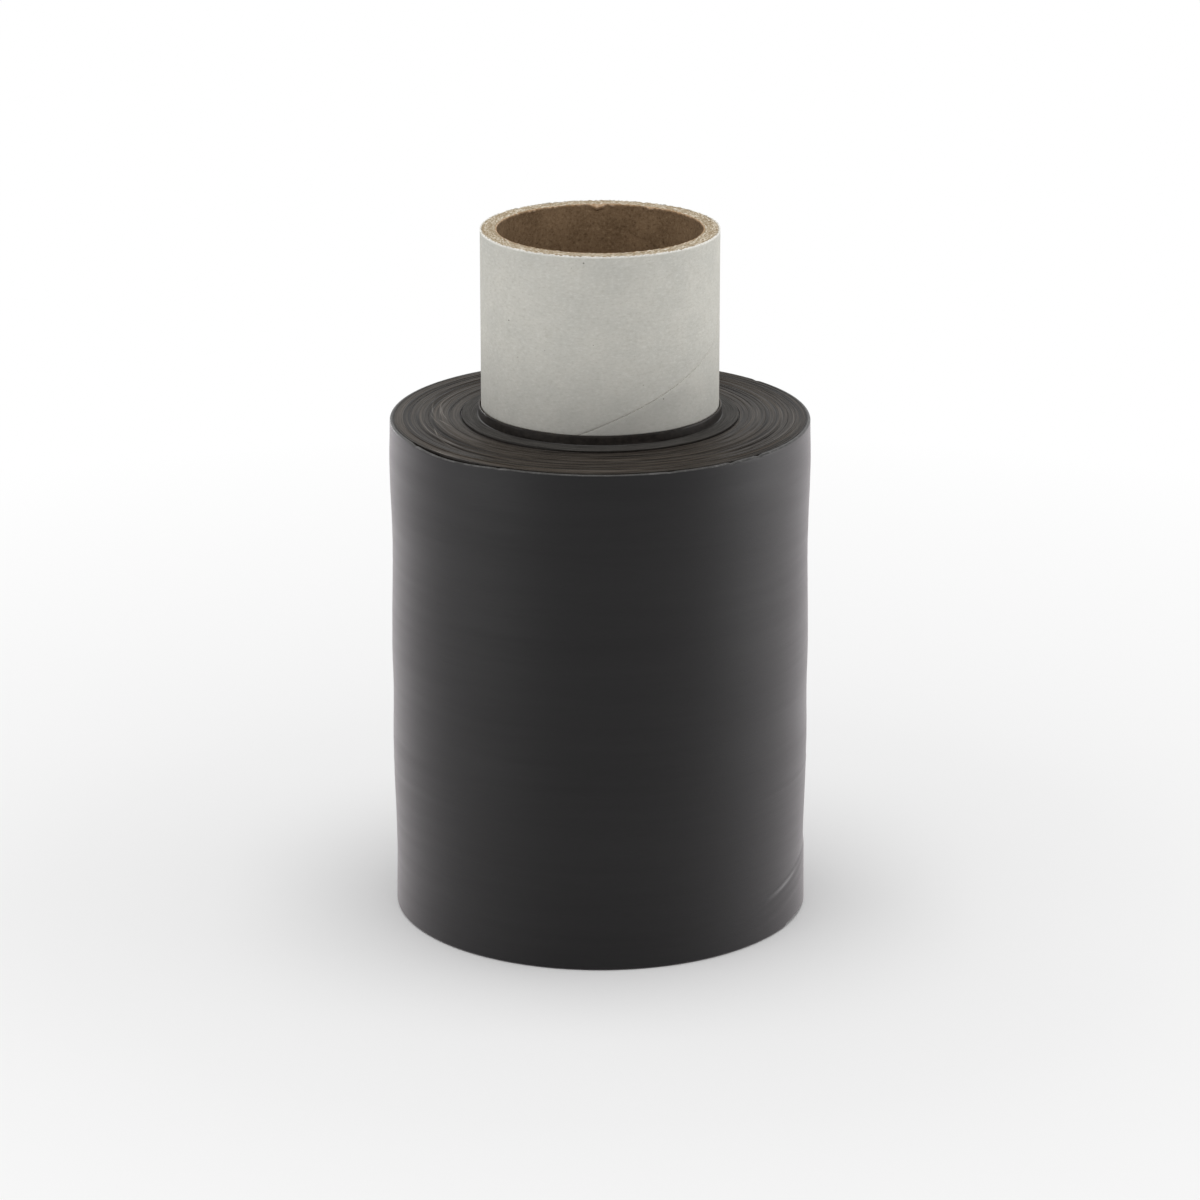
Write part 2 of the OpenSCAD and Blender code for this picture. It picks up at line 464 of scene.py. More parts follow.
def start_ring_material():
    """The first turns round the core, wound flush: smoother and more even than the rest of the end."""
    shader = Shader("start_ring", Specular_IOR_Level=0.03)
    rings = shader.noise(shader.polar(1.0, 1.0), 3.0, detail=4.0, roughness=0.7)
    colour = shader.ramp(rings, [(0.35, linear(46, 44, 42)), (0.65, linear(88, 86, 83))])
    # Painted highlights: light lines at the collar's foot, mostly on the left and right, lighten the colour
    colour = shader.mixed(shader.attribute("pale_marks_and_highlights"), colour, linear(150, 150, 150))
    roughness = shader.ranged(rings, 0.3, 0.7, 0.5, 0.6)
    return shader.finish(colour, roughness, rings, height_mm=0.1)


def collar_material():
    """The face of the first turns where they stand up round the core: brown-black and dull."""
    shader = Shader("collar", Specular_IOR_Level=0.2)
    clouds = shader.noise(shader.mm, 0.8, detail=3.0, roughness=0.6)
    colour = shader.ramp(clouds, [(0.35, linear(20, 16, 13)), (0.65, linear(38, 33, 29))])
    return shader.finish(colour, shader.ranged(clouds, 0.3, 0.7, 0.4, 0.5), clouds, height_mm=0.05)


def film_rim_material():
    """The outer turns' upper rim, painted lighter grey in patches: a painted highlight along its rounded
    edge.
    """
    shader = Shader("film_rim", Specular_IOR_Level=0.3)
    # Painted highlight: the rim is painted a far lighter grey than the wall's black film, in patches from
    # this noise
    highlight_patches = shader.noise(shader.mm, 0.3, detail=6.0, roughness=0.75)
    stops = [(0.36, linear(44, 43, 42)), (0.5, linear(60, 59, 58)), (0.66, linear(92, 91, 90))]
    colour = shader.ramp(highlight_patches, stops)
    return shader.finish(colour, shader.ranged(highlight_patches, 0.3, 0.7, 0.3, 0.45))


paper = paper_material()
cut_paper = cut_paper_material()
kraft = kraft_material()
cut_board = cut_board_material()
board_face = board_face_material()
film_wall = film_wall_material()
film_edge = film_edge_material()
start_ring = start_ring_material()
collar = collar_material()
film_rim = film_rim_material()


# Core

# Tongues of torn fibre that hang into the bore at the upper lip: degrees, half width and drop
BURRS = [
    (91, 2.6 * MM, 0.8 * MM),
    (60, 1.3 * MM, 0.4 * MM),
    (-20, 1.4 * MM, 0.3 * MM),
    (-128, 1.6 * MM, 0.3 * MM),
    (-75, 2.2 * MM, 0.2 * MM),
]
# Frayed fibres along the upper lip, and how uneven the bore is
LIP_FRAY = 0.13 * MM
BORE_WOBBLE = 0.02 * MM
BORE_ROWS = 44
# The sawn ends: how far they lie inside the CAD box, how rough they are, and their rings of corners
CUT_DROP = 0.12 * MM
CUT_RISE = 0.05 * MM
CUT_ROUGHNESS = 0.07 * MM
CUT_ROWS = 14
# The lower end's share of that roughness, and where the upper end's first ring is, from 0 at the bore
LOWER_SHARE = 0.5
FIRST_RING = 0.03
# The bore's even rows end this far under the core's top
LIP_ZONE = 2 * MM
# The lip's rows: depth under the core's top, and shares of the fraying that hang down and reach inward
LIP_ROWS = [(0.9 * MM, 1, 0), (0.4 * MM, 1, 0.45), (CUT_DROP, 0.8, 0.5)]
# The sawn board's colour goes this far over the outer edge of either end
CUT_BAND = 1 * MM


def core_board():
    """The board with its bore, its fibrous sawn ends and the torn tongues at its upper lip."""
    kraft_slot, cut_slot, face_slot = 0, 1, 2
    burr = sum(drop * hump(away(FINE, math.radians(at)), width / BORE_R) for at, width, drop in BURRS)
    lip = burr + LIP_FRAY * abs(ripples(FINE, 1, 70, seed=11)[0])
    wobble = BORE_WOBBLE * ripples(FINE, 1, 10, seed=12)[0]
    rim_top = CORE_TOP - CUT_DROP
    heights = np.linspace(0, CORE_TOP - LIP_ZONE, BORE_ROWS)
    rows = [(BORE_R + wobble, height, kraft_slot) for height in heights]
    for (depth, down, inward), slot in zip(LIP_ROWS, (kraft_slot, cut_slot, cut_slot)):
        rows.append((BORE_R - inward * lip, CORE_TOP - depth - down * lip, slot))
    rough = CUT_ROUGHNESS * ripples(FINE, CUT_ROWS, 150, seed=13, blur=1)
    for share, bumps in zip(np.linspace(FIRST_RING, 1, CUT_ROWS), rough):
        radius = BORE_R + share * (BOARD_R - BORE_R)
        rows.append((radius, np.minimum(rim_top + bumps, CORE_TOP), cut_slot))
    rows.append((BOARD_R, CORE_TOP - CUT_BAND, face_slot))
    rows.append((BOARD_R, CUT_BAND, cut_slot))
    rough = CUT_ROUGHNESS * ripples(FINE, CUT_ROWS, 150, seed=14)
    for share, bumps in zip(np.linspace(1, 0, CUT_ROWS), rough):
        radius = BORE_R + share * (BOARD_R - BORE_R)
        rows.append((radius, np.maximum(CUT_RISE + LOWER_SHARE * bumps, 0), cut_slot))
    piece = lathe("core_board", FINE, rows, [kraft, cut_board, board_face])
    dress(piece, "core_tube")


# The seam's gap where it is closed, how much is added at the front, and how far up and either way that goes
SEAM_CLOSED = 0.04 * MM
SEAM_OPEN = 0.16 * MM
OPEN_ABOVE = 22 * MM
OPEN_REACH = 30 * MM
# The strip's edges are pressed down by this much, over about this width
PRESSED = 0.12 * MM
PRESSED_WIDTH = 0.3 * MM
# The strip's face lies this far inside the core's radius, and is uneven by this much
PAPER_INSET = 0.03 * MM
PAPER_UNEVEN = 0.015 * MM
# Corners of the strip's grid in one turn
STRIP_STEPS = 560
# Its lines, as shares of its width from either edge, closer together where the edges are pressed down
EDGE_SHARES = [0, 0.002, 0.005, 0.011, 0.022, 0.05, 0.12, 0.25, 0.4]


def strip_grid():
    """Corners of the paper strip, a row along each of its lines, from below the core to above it."""
    shares = np.array(EDGE_SHARES + [1 - share for share in reversed(EDGE_SHARES)])
    across = shares * SEAM_LEAD
    first = FRONT - TURN * (SEAM_FRONT + SEAM_LEAD) / SEAM_LEAD
    last = FRONT + TURN * (CORE_TOP - SEAM_FRONT) / SEAM_LEAD
    angles = np.linspace(first, last, int(STRIP_STEPS * (last - first) / TURN))
    seam = SEAM_FRONT + SEAM_LEAD * (angles - FRONT) / TURN
    opened = (1 - ease(SEAM_FRONT, SEAM_FRONT + OPEN_ABOVE, seam)) * hump(seam - SEAM_FRONT, OPEN_REACH)
    gap = SEAM_CLOSED + SEAM_OPEN * opened
    heights = seam + across[:, None] + gap * (0.5 - shares[:, None])
    edge = np.minimum(across, SEAM_LEAD - across)[:, None]
    pressed = PRESSED * np.exp(-edge / PRESSED_WIDTH)
    uneven = PAPER_UNEVEN * ripples(angles, len(across), 9, seed=21, blur=3)
    radii = np.minimum(CORE_R - PAPER_INSET - pressed + uneven, CORE_R)
    return np.stack([radii * np.cos(angles), radii * np.sin(angles), heights], axis=2)


# Corners this near a cut lie on it
ON_CUT = 1e-6


def trim(work, height, up):
    """Cuts away what lies past a height: above it where up is 1, and below it where up is -1."""
    everything = work.verts[:] + work.edges[:] + work.faces[:]
    bmesh.ops.bisect_plane(
        work, geom=everything, dist=1e-7, plane_co=(0, 0, height), plane_no=(0, 0, up), clear_outer=True,
    )


def thicken(work, inner_r, edge_slot):
    """Gives an open sheet round the axis a second face at inner_r, and closes its edges."""
    sheet = bmesh.ops.duplicate(work, geom=work.verts[:] + work.edges[:] + work.faces[:])
    twins = sheet["vert_map"]
    added = [item for item in sheet["geom"] if isinstance(item, bmesh.types.BMVert)]
    new_verts = set(added)
    for vertex in added:
        share = inner_r / math.hypot(vertex.co.x, vertex.co.y)
        vertex.co.x *= share
        vertex.co.y *= share
    rim = [edge for edge in work.edges if edge.is_boundary and edge.verts[0] not in new_verts]
    for edge in rim:
        a, b = edge.verts
        face = work.faces.new((a, b, twins[b], twins[a]))
        face.smooth = True
        face.material_index = edge_slot
    bmesh.ops.recalc_face_normals(work, faces=work.faces[:])


# The strip's cut edge: how far it lies under the core's top, and how uneven it is
PAPER_DROP = 0.1 * MM
PAPER_FRAY = 0.08 * MM


def core_paper():
    """The grey paper strip, wound edge to edge round the board and cut off square at both ends."""
    grid = strip_grid()
    lines, count = grid.shape[:2]
    row, column = np.meshgrid(np.arange(lines - 1), np.arange(count - 1), indexing="ij")
    corners = [(row, column), (row, column + 1), (row + 1, column + 1), (row + 1, column)]
    points = grid.reshape(-1, 3).tolist()
    piece = new_piece("core_paper", points, grid_faces(corners, count), [paper, cut_paper])
    rim_top = CORE_TOP - PAPER_DROP
    work = bmesh.new()
    work.from_mesh(piece.data)
    trim(work, rim_top, 1)
    trim(work, 0, -1)
    top = [vertex for vertex in work.verts if vertex.co.z > rim_top - ON_CUT]
    angles = np.array([math.atan2(vertex.co.y, vertex.co.x) for vertex in top])
    for vertex, lift in zip(top, ripples(angles, 1, 180, seed=22)[0]):
        vertex.co.z += min(PAPER_FRAY * lift, PAPER_DROP)
    for vertex in work.verts:
        vertex.co.z = max(vertex.co.z, 0.0)
    thicken(work, PAPER_BORE_R, edge_slot=1)
    work.to_mesh(piece.data)
    work.free()
    piece.data.set_sharp_from_angle(angle=math.radians(SHARP_ANGLE))
    dress(piece, "core_outer_ply")


# Film

# Air between two pieces of the winding
GAP = 0.02 * MM
# Width of one fine ring of turns on the end. The lower end has one row of corners for so many rings
TOP_PITCH = 0.11 * MM
LOWER_STEP = 3
# Radii where the inner turns end and the outer turns begin
INNER_SPLIT = 42.4 * MM
LOOSE_R = 50.3 * MM
# Pale scratches across the end's rings: degrees and radius in mm where each starts and ends, and strength
SCUFFS = [
    (160, 40.6, 186, 38.2, 0.5),
    (163, 42.6, 184, 40.0, 0.45),
    (170, 39.4, 190, 37.2, 0.55),
    (178, 41.4, 196, 39.6, 0.35),
    (186, 39.6, 199, 37.4, 0.6),
    (190, 43.4, 206, 43.9, 0.3),
    (196, 41.6, 207, 43.4, 0.6),
    (205, 42.9, 222, 43.6, 0.6),
    (209, 44.2, 226, 45.3, 0.4),
    (214, 49.6, 226, 50.0, 0.8),
    (218, 49.2, 229, 49.6, 0.5),
    (222, 50.1, 236, 50.1, 0.7),
    (343, 47.5, 372, 46.9, 0.3),
    (347, 44.6, 372, 44.2, 0.3),
    (352, 38.2, 368, 38.4, 0.25),
]
# Half the width of a scratch
SCUFF_HALF = 0.13 * MM
# Painted highlights, light lines at the foot of the collar: middle and half width in degrees, and strength
COLLAR_HIGHLIGHTS = [(196, 26, 0.8), (350, 16, 0.6), (262, 40, 0.25)]
# How far outside the collar they lie, and their half width along the radius
COLLAR_HIGHLIGHT_OUT = 0.2 * MM
COLLAR_HIGHLIGHT_HALF = 0.25 * MM


def add_marks_and_highlights(piece, marks_at):
    """Keeps the strength of the pale marks and painted highlights at each corner of a mesh, from its radius,
    angle and height.
    """
    x, y, heights = corners_of(piece.data).T
    marks = marks_at(np.hypot(x, y), np.arctan2(y, x), heights)
    layer = piece.data.attributes.new("pale_marks_and_highlights", "FLOAT", "POINT")
    layer.data.foreach_set("value", marks.astype(np.float32))


def scratches(radii, angles, heights):
    """Strength of the scratches across the upper end's rings."""
    marks = np.zeros(len(radii))
    for first, first_r, last, last_r, strength in SCUFFS:
        half = math.radians((last - first) / 2)
        along = away(angles, math.radians((first + last) / 2)) / half
        line_r = ((first_r + last_r) / 2 + along * (last_r - first_r) / 2) * MM
        mark = hump(radii - line_r, SCUFF_HALF) * hump(along, 1.0) ** 0.5
        marks = np.maximum(marks, strength * mark)
    return marks * (heights > FILM_W / 2)


def collar_highlights(radii, angles, heights):
    """Strength of the painted highlights, light lines at the upper collar's foot."""
    line = hump(radii - COLLAR_R - COLLAR_HIGHLIGHT_OUT, COLLAR_HIGHLIGHT_HALF)
    marks = np.zeros(len(radii))
    for middle, half, strength in COLLAR_HIGHLIGHTS:
        around = hump(away(angles, math.radians(middle)), math.radians(half))
        marks = np.maximum(marks, strength * line * around)
    return marks * (heights > FILM_W / 2)


# How far single rings stand out: each by itself, in waves round each ring, and in slow waves of many rings
RING_STEP = 0.013 * MM
RING_WAVE = 0.012 * MM
SLOW_WAVE = 0.015 * MM
# About one ring in six has slipped down: a share of SUNK_DEPTH that changes round the ring, SUNK_MOST at most
SUNK_OVER = 1.0
SUNK_DEPTH = 0.055 * MM
SUNK_USUAL = 0.6
SUNK_MOST = 1.3
# How far the rings run off centre, and how uneven that is
DRIFT = 0.22 * MM
DRIFT_WAVE = 0.05 * MM


def relief(radii, seed):
    """How far each fine ring of turns stands out of the end, round the roll."""
    rings = len(radii)
    fine = RING_STEP * row_noise(rings, seed) + RING_WAVE * ripples(FINE, rings, 9, seed + 1)
    slow = SLOW_WAVE * ripples(FINE, rings, 3, seed + 2, blur=5)
    slipped = row_noise(rings, seed + 4) > SUNK_OVER
    share = np.clip(SUNK_USUAL + ripples(FINE, rings, 4, seed + 5), 0, SUNK_MOST)
    return fine + slow - SUNK_DEPTH * slipped * share


def drift(radii, seed):
    """How far the rings run off centre, so that they close up on one side and open on the other.

    The seed, taken as an angle, is also the side where they lean out.
    """
    share = (radii - radii[0]) / (radii[-1] - radii[0])
    swell = np.sin(math.pi * share)[:, None]
    lean = DRIFT * np.cos(FINE - seed)[None, :]
    return swell * (lean + DRIFT_WAVE * ripples(FINE, len(radii), 4, seed + 3, blur=6))


def turns(name, inner_r, outer_r, seed):
    """A closed ring of turns. Every web is as wide as the next, so the lower end repeats the upper one."""
    count = round((outer_r - inner_r) / TOP_PITCH) + 1
    radii = np.linspace(inner_r, outer_r, count)
    rounds = radii[:, None] + drift(radii, seed)
    heights = end_height(rounds) + relief(radii, seed)
    end_slot, face_slot = 0, 1
    rows = [(r, z, end_slot) for r, z in zip(rounds[:-1], heights)]
    rows.append((rounds[-1], heights[-1], face_slot))
    lower = list(range(count - 1, 0, -LOWER_STEP))
    rows += [(rounds[i], np.maximum(heights[i] - FILM_W, 0), end_slot) for i in lower]
    rows.append((rounds[0], np.maximum(heights[0] - FILM_W, 0), face_slot))
    piece = lathe(name, FINE, rows, [film_edge, collar])
    add_marks_and_highlights(piece, scratches)
    dress(piece, "film_winding")


# The collar's torn upper edge, its uneven face and its rows of corners
COLLAR_TORN = 0.04 * MM
COLLAR_WOBBLE = 0.03 * MM
COLLAR_ROWS = 6
# The collar's inner bevel and outer round, each as width and depth, and the height of its foot
COLLAR_BEVEL = (0.12 * MM, 0.5 * MM)
COLLAR_ROUND = (0.1 * MM, 0.15 * MM)
COLLAR_FOOT = 0.12 * MM
# The start ring's fine unevenness and slow waves, and the height and width of the curl at its inner edge
RING_UNEVEN = 0.008 * MM
RING_SLOW = 0.03 * MM
RING_CURL = 0.05 * MM
RING_CURL_WIDTH = 0.2 * MM
# Its rows of corners, where the first lies, how far its face goes over the groove, and its rounded rim
RING_ROWS = 28
RING_START = 0.08 * MM
RING_OVER = 0.06 * MM
RING_RIM = 0.12 * MM
# The groove is closed up by this much from the ring's side and from below
GROOVE_FILL = 0.2 * MM


def start_ring_rows(ring_slot):
    """Rows over the smooth upper face of the start ring."""
    radii = np.linspace(COLLAR_R + RING_START, RING_R + RING_OVER, RING_ROWS)
    curl = RING_CURL * np.exp(-(radii - radii[0]) / RING_CURL_WIDTH)[:, None]
    uneven = RING_UNEVEN * (row_noise(RING_ROWS, 33) + ripples(FINE, RING_ROWS, 4, seed=34))
    uneven = uneven + RING_SLOW * ripples(FINE, RING_ROWS, 3, seed=35, blur=5) + curl
    return [(radius, RING_TOP + bumps, ring_slot) for radius, bumps in zip(radii, uneven)]


def first_turns():
    """The collar that stands up round the core, the smooth start ring and its groove."""
    ring_slot, edge_slot, collar_slot = 0, 1, 2
    torn = COLLAR_TORN * abs(ripples(FINE, 1, 14, seed=31)[0])
    wobble = COLLAR_WOBBLE * ripples(FINE, 1, 12, seed=32)[0]
    rows = [(FILM_BORE_R, COLLAR_TOP - FILM_W, edge_slot)]
    rows.append((FILM_BORE_R, COLLAR_TOP - COLLAR_BEVEL[1] - torn, edge_slot))
    rows.append((FILM_BORE_R + COLLAR_BEVEL[0], COLLAR_TOP - torn, edge_slot))
    rows.append((COLLAR_R - COLLAR_ROUND[0], COLLAR_TOP - torn, collar_slot))
    for height in np.linspace(COLLAR_TOP - COLLAR_ROUND[1], RING_TOP + COLLAR_FOOT, COLLAR_ROWS):
        rows.append((COLLAR_R + wobble, height - torn, collar_slot))
    rows.append((COLLAR_R, RING_TOP, ring_slot))
    rows += start_ring_rows(ring_slot)
    rows.append((RING_R + RING_OVER + RING_RIM, RING_TOP - RING_RIM, collar_slot))
    rows.append((RING_R + GROOVE_FILL, GROOVE_TOP + GROOVE_FILL, collar_slot))
    rows.append((MAIN_R - GAP, GROOVE_TOP + GROOVE_FILL, edge_slot))
    lower_end = [
        (MAIN_R - GAP, GROOVE_TOP, edge_slot),
        (RING_R, GROOVE_TOP, edge_slot),
        (RING_R, RING_TOP, ring_slot),
        (COLLAR_R, RING_TOP, edge_slot),
        (COLLAR_R, COLLAR_TOP, edge_slot),
    ]
    rows += [(radius, height - FILM_W, slot) for radius, height, slot in lower_end]
    piece = lathe("film_first_turns", FINE, rows, [start_ring, film_edge, collar])
    add_marks_and_highlights(piece, collar_highlights)
    dress(piece, "film_winding")


# Where the outermost turns have come loose, at the left of the front
LOOSE_AT = math.radians(-135)
LOOSE_HALF = math.radians(20)
# How loose they are round the roll, from 0 to 1
LOOSE = hump(away(PLAIN, LOOSE_AT), LOOSE_HALF) ** 0.7
# How far they stand off inside and outside at the rim, and how far they slid down. Both begin LOOSE_REACH
# under the rim, and the slide is full SLID_FULL under it
LOOSE_GAP = 0.6 * MM
LOOSE_OUT = 0.15 * MM
LOOSE_DROP = 0.5 * MM
LOOSE_REACH = 9 * MM
SLID_FULL = 0.5 * MM
# The wall's bulge outside them, and the depths under the rim where it begins and is full
LOOSE_BULGE = 0.18 * MM
BULGE_FROM = 14 * MM
BULGE_FULL = 2 * MM
# The low corner of the web's tail: its end, how far it stands out, its middle beyond the end and half width,
# and how far under and over the uppermost crease it fades out
TAIL_AT = math.radians(-26)
TAIL_OUT = 0.32 * MM
TAIL_MIDDLE = math.radians(14)
TAIL_HALF = math.radians(44)
TAIL_FADE_UNDER = 2 * MM
TAIL_FADE_OVER = 1 * MM
# How far its edge is lifted, up to which height, and where past its end the lift is full, fades and has gone
TAIL_LIFT = 0.65 * MM
TAIL_LIFT_BELOW = 9 * MM
TAIL_LIFT_FULL = math.radians(1.2)
TAIL_LIFT_FADE = math.radians(4)
TAIL_LIFT_GONE = math.radians(26)
# Creases that climb from the tail: height in mm at the tail's end, half width in mm and rise in mm
CREASES = [(11.6, 0.9, 0.13), (6.8, 1.8, 0.05)]
# How far the creases climb in a radian, and how far they go either way
CREASE_CLIMB = 9.7 * MM
CREASE_HALF = math.radians(30)
# The painted highlight along the uppermost crease: its strength, half width, middle and half length
CREASE_HIGHLIGHT_STRENGTH = 0.8
CREASE_HIGHLIGHT_HALF = 0.7 * MM
CREASE_HIGHLIGHT_MIDDLE = math.radians(1)
CREASE_HIGHLIGHT_REACH = math.radians(13)
# Nicks in the upper rim: degrees and depth in mm
NICKS = [(-42.4, 0.3), (-52.3, 0.22), (-71, 0.12), (-118, 0.15), (-150, 0.2), (40, 0.2), (115, 0.2)]
# The half width of a nick in radians, and the depths under the rim where it begins and is full
NICK_HALF = 0.025
NICK_FROM = 1.5 * MM
NICK_FULL = 0.3 * MM
# Faint ridges round the wall: height in mm, half width in mm and how far they stand out in mm
RIDGES = [(37.5, 1.0, 0.06), (41.5, 2.6, -0.03), (88.5, 1.6, -0.025), (84.0, 1.8, 0.02), (62.0, 2.6, 0.02)]
# Rows of corners up the wall lie closer together round the creases, below CREASES_BELOW
WALL_PITCH = 0.66 * MM
CREASE_PITCH = 0.35 * MM
CREASES_BELOW = 18 * MM
# A ridge stands out by a share of what is listed: RIDGE_USUAL, with waves of RIDGE_CHANGE, up to RIDGE_MOST
RIDGE_USUAL = 0.75
RIDGE_CHANGE = 0.4
RIDGE_MOST = 1.2
# Waves of the wall are worked out at this many even heights
WAVE_ROWS = 225
# The wall's fine waves, slow waves and drawn lines, its ridges' wander, and its depth inside the CAD's wall
WALL_WAVE = 0.006 * MM
WALL_SLOW = 0.04 * MM
WALL_LINES = 0.0012 * MM
RIDGE_WANDER = 0.5 * MM
WALL_INSET = 0.05 * MM
# Depths in mm under the film's top of the inner face's rows and the wall's first rows, which its foot repeats
INNER_FACE_MM = [125, 60, 9, 6, 4, 2.5, 1.5, 0.8]
WALL_RIM_MM = [0.03, 0.1, 0.2, 0.33, 0.5, 0.75, 1.05]
# The wall's even rows keep this far from its foot and from its rim
FOOT_MARGIN = 1.5 * MM
RIM_MARGIN = 1.4 * MM
# The upper rim: its rows, how far it lies under the film's top, and its fraying
RIM_ROWS = 5
RIM_DROP = 0.05 * MM
RIM_FRAY = 0.02 * MM
# The rim's lighter part, a painted highlight along its rounded edge: the share of the way outward where it
# begins, and how far down the wall it goes
RIM_HIGHLIGHT_FROM = 0.6
RIM_HIGHLIGHT_DOWN = 0.3 * MM
# The last row of the foot lies this far inside the wall
FOOT_INSET = 0.1 * MM


def at_heights(waves, heights):
    """Rows of waves, given at even heights from the rim down to the foot, found for other heights."""
    place = (1 - heights / FILM_W) * (len(waves) - 1)
    first = np.minimum(place.astype(int), len(waves) - 2)
    share = (place - first)[:, None]
    return (1 - share) * waves[first] + share * waves[first + 1]


def wall_relief(heights):
    """How far the wall stands out of its CAD line: soft unevenness, fine drawn lines and a few ridges."""
    soft = WALL_WAVE * ripples(PLAIN, WAVE_ROWS, 5, seed=42, blur=5)
    soft = soft + WALL_SLOW * ripples(PLAIN, WAVE_ROWS, 3, seed=43, blur=20)
    fine = WALL_LINES * row_noise(WAVE_ROWS, 44)
    lie = RIDGE_WANDER * ripples(PLAIN, len(RIDGES), 2, seed=45)
    fade = np.clip(RIDGE_USUAL + RIDGE_CHANGE * ripples(PLAIN, len(RIDGES), 2, seed=46), 0, RIDGE_MOST)
    ridges = sum(
        out * MM * fade[i] * hump(heights[:, None] - at * MM - lie[i], width * MM)
        for i, (at, width, out) in enumerate(RIDGES)
    )
    return at_heights(soft + fine, heights) + ridges


def tail_corner(heights):
    """How far the wall stands out at the tail's low corner, with the creases that climb from it."""
    tail = away(PLAIN, TAIL_AT)
    climb = CREASE_CLIMB * tail
    top = CREASES[0][0] * MM + climb
    around = hump(tail - TAIL_MIDDLE, TAIL_HALF)
    fade = ease(top - TAIL_FADE_UNDER, top + TAIL_FADE_OVER, heights[:, None])
    out = TAIL_OUT * (1 - fade) * around
    for at, width, rise in CREASES:
        fold = hump(heights[:, None] - at * MM - climb, width * MM)
        out = out + rise * MM * fold * hump(tail, CREASE_HALF)
    return out


def crease_highlight(radii, angles, heights):
    """The painted highlight along the uppermost crease, where its ridge would catch the light."""
    tail = away(angles, TAIL_AT)
    line = heights - CREASES[0][0] * MM - CREASE_CLIMB * tail
    return CREASE_HIGHLIGHT_STRENGTH * hump(line, CREASE_HIGHLIGHT_HALF) * hump(tail - CREASE_HIGHLIGHT_MIDDLE, CREASE_HIGHLIGHT_REACH)


def tail_lift():
    """How far the lower edge is turned up beyond the tail's end."""
    tail = away(PLAIN, TAIL_AT)
    return TAIL_LIFT * ease(0, TAIL_LIFT_FULL, tail) * (1 - ease(TAIL_LIFT_FADE, TAIL_LIFT_GONE, tail))


def sunk(height):
    """A height near the upper rim, where the loose turns have slid down and the rim is nicked."""
    slid = LOOSE_DROP * LOOSE * ease(FILM_W - LOOSE_REACH, FILM_W - SLID_FULL, height)
    nicks = sum(depth * MM * hump(away(PLAIN, math.radians(at)), NICK_HALF) for at, depth in NICKS)
    return height - slid - nicks * ease(FILM_W - NICK_FROM, FILM_W - NICK_FULL, height)


def inner_face_rows(slot):
    """Rows up the inner face, which the loose turns open towards the rim."""
    rows = []
    for height in FILM_W - np.array(INNER_FACE_MM) * MM:
        opened = LOOSE_GAP * LOOSE * ease(FILM_W - LOOSE_REACH, FILM_W, height)
        rows.append((LOOSE_R + GAP + opened, sunk(height), slot))
    return rows


def rim_rows(edge_slot, rim_slot):
    """Rows outward over the upper end, whose outer part carries the rim's painted highlight."""
    inner = LOOSE_R + GAP + LOOSE_GAP * LOOSE
    outer = wall_r(FILM_W) - WALL_INSET + LOOSE_OUT * LOOSE
    frayed = RIM_FRAY * ripples(PLAIN, RIM_ROWS, 90, seed=41)
    rows = []
    for share, frays in zip(np.linspace(0, 1, RIM_ROWS), frayed):
        slot = rim_slot if share > RIM_HIGHLIGHT_FROM else edge_slot
        rows.append((inner + share * (outer - inner), sunk(FILM_W - RIM_DROP) + frays, slot))
    return rows


def wall_rows(wall_slot, rim_slot):
    """Rows down the outer wall, from the rim to the foot."""
    rim = np.array(WALL_RIM_MM) * MM
    low = np.arange(FOOT_MARGIN, CREASES_BELOW, CREASE_PITCH)
    high = np.arange(CREASES_BELOW, FILM_W - RIM_MARGIN, WALL_PITCH)
    heights = np.concatenate([FILM_W - rim, high[::-1], low[::-1], rim[::-1]])
    bulge = LOOSE_BULGE * LOOSE * ease(FILM_W - BULGE_FROM, FILM_W - BULGE_FULL, heights[:, None])
    radii = wall_r(heights)[:, None] - WALL_INSET + wall_relief(heights) + tail_corner(heights) + bulge
    rows = []
    for radius, height in zip(radii, heights):
        lift = tail_lift() * max(0, 1 - height / TAIL_LIFT_BELOW)
        slot = rim_slot if height > FILM_W - RIM_HIGHLIGHT_DOWN else wall_slot
        rows.append((np.minimum(radius, FILM_R), sunk(height) + lift, slot))
    return rows


def outer_turns():
    """The outermost turns, whose face is the roll's outer wall."""
    edge_slot, wall_slot, rim_slot = 0, 1, 2
    rows = inner_face_rows(edge_slot) + rim_rows(edge_slot, rim_slot) + wall_rows(wall_slot, rim_slot)
    rows.append((wall_r(0.0) - FOOT_INSET, tail_lift(), edge_slot))
    piece = lathe("film_outer_turns", PLAIN, rows, [collar, film_wall, film_rim], sharp_angle=50)
    add_marks_and_highlights(piece, crease_highlight)
    dress(piece, "film_winding")


core_board()
core_paper()
first_turns()
turns("film_inner_turns", MAIN_R, INNER_SPLIT - GAP, seed=3)
turns("film_middle_turns", INNER_SPLIT, LOOSE_R, seed=5)
outer_turns()


# Camera

CAMERA_DISTANCE = 1200 * MM
CAMERA_ELEVATION = math.radians(18.02)
CAMERA_LENS_MM = 145.9
AIM_HEIGHT = 77.7 * MM


def make_camera():
    """A camera in front of the roll that looks down on it."""
    data = bpy.data.cameras.new("camera")
    data.lens = CAMERA_LENS_MM
    data.clip_start, data.clip_end = 0.05, 50
    camera = bpy.data.objects.new("camera", data)
    back = Vector((0, -math.cos(CAMERA_ELEVATION), math.sin(CAMERA_ELEVATION)))
    camera.location = Vector((0, 0, AIM_HEIGHT)) + CAMERA_DISTANCE * back
    camera.rotation_mode = "QUATERNION"
    camera.rotation_quaternion = (-back).to_track_quat("-Z", "Y")
    bpy.context.scene.collection.objects.link(camera)
    bpy.context.scene.camera = camera


# Studio

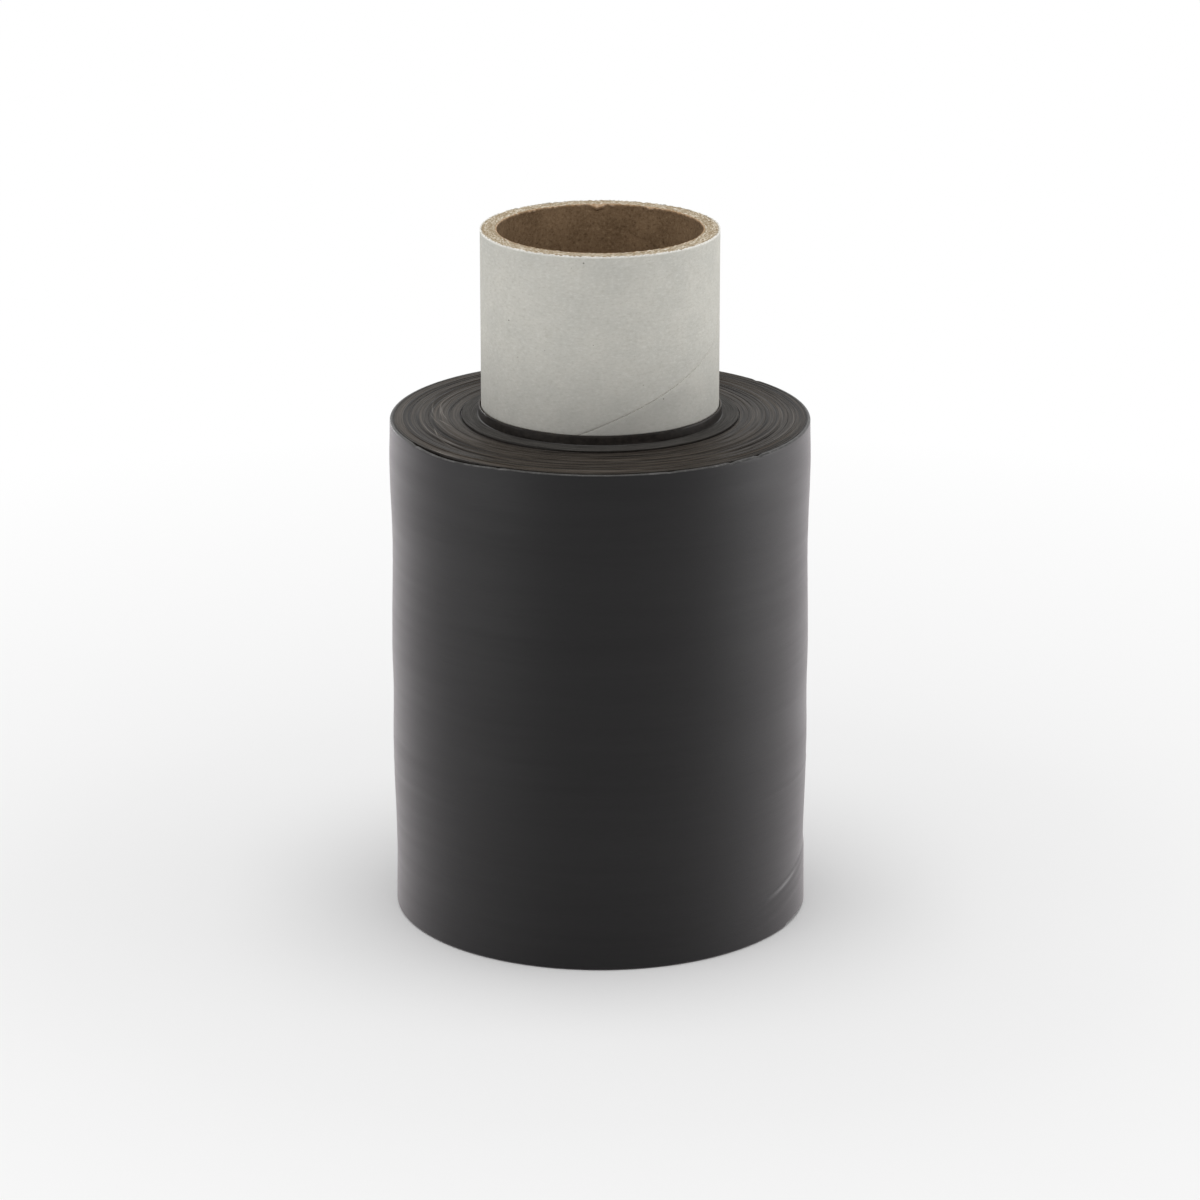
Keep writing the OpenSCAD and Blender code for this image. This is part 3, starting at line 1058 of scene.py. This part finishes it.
def background_ray(tree):
    """1 for rays that should see the background: from the camera, a reflection or glass."""
    path = tree.nodes.new("ShaderNodeLightPath")
    seen = path.outputs["Is Camera Ray"]
    for ray in ("Is Glossy Ray", "Is Transmission Ray"):
        either = tree.nodes.new("ShaderNodeMath")
        either.operation = "MAXIMUM"
        tree.links.new(seen, either.inputs[0])
        tree.links.new(path.outputs[ray], either.inputs[1])
        seen = either.outputs[0]
    return seen


# The floor is lit as any surface near the object, where its shadow lies, and is plain white further off
LIT_WITHIN = 0.14
WHITE_BEYOND = 0.42
FLOOR_HALF = 12.0


def make_floor():
    """A pale floor that keeps the roll's shadow."""
    shader = Shader("floor", Base_Color=linear(246, 246, 246), Roughness=0.9, Specular_IOR_Level=0.0)
    far = shader.ranged(shader.radius, LIT_WITHIN / MM, WHITE_BEYOND / MM, 0.0, 1.0)
    share = shader.maths("MULTIPLY", far, background_ray(shader.tree))
    white = shader.node("ShaderNodeEmission", {"Strength": 1.0})
    both = shader.node("ShaderNodeMixShader", {0: share, 1: shader.surface.outputs[0], 2: white})
    shader.tree.links.new(both, shader.tree.nodes["Material Output"].inputs["Surface"])
    corners = [(x * FLOOR_HALF, y * FLOOR_HALF, 0) for x, y in ((-1, -1), (1, -1), (1, 1), (-1, 1))]
    floor = new_piece("floor", corners, [(0, 1, 2, 3)], [shader.material])


# Lamps aim at this place
AIM = Vector((0, 0, 0.09))


def softbox(name, width, height, power, azimuth, elevation, distance):
    """A soft lamp round the object, by degrees from the front towards +X and degrees above the aim."""
    turn, rise = math.radians(azimuth), math.radians(elevation)
    direction = Vector((math.sin(turn) * math.cos(rise), -math.cos(turn) * math.cos(rise), math.sin(rise)))
    data = bpy.data.lights.new(name, "AREA")
    data.shape = "RECTANGLE"
    data.size, data.size_y = width, height
    data.energy = power
    made = bpy.data.objects.new(name, data)
    made.location = AIM + distance * direction
    made.rotation_mode = "QUATERNION"
    made.rotation_quaternion = (-direction).to_track_quat("-Z", "Y")
    bpy.context.scene.collection.objects.link(made)


WORLD_LEVEL = 0.64


def make_world():
    """Even light, and white wherever the camera, a reflection or glass looks past the floor."""
    world = bpy.data.worlds.new("studio")
    bpy.context.scene.world = world
    world.use_nodes = True
    tree = world.node_tree
    level = tree.nodes.new("ShaderNodeMapRange")
    level.inputs["To Min"].default_value = WORLD_LEVEL
    level.inputs["To Max"].default_value = 1.0
    tree.links.new(background_ray(tree), level.inputs["Value"])
    background = tree.nodes["Background"]
    tree.links.new(level.outputs[0], background.inputs["Strength"])
    background.inputs["Color"].default_value = (1, 1, 1, 1)


make_camera()
make_floor()
make_world()
softbox("left_strip", 0.6, 0.12, power=1.25, azimuth=-60, elevation=-1.5, distance=0.75)
softbox("rear_strip", 0.3, 0.12, power=0.6, azimuth=-140, elevation=-1.5, distance=0.75)
softbox("right_strip", 0.55, 0.12, power=1.95, azimuth=91, elevation=-1.5, distance=0.75)
softbox("top_softbox", 0.9, 0.9, power=7.3, azimuth=0, elevation=89, distance=1.4)
bpy.context.scene.view_settings.view_transform = "Standard"
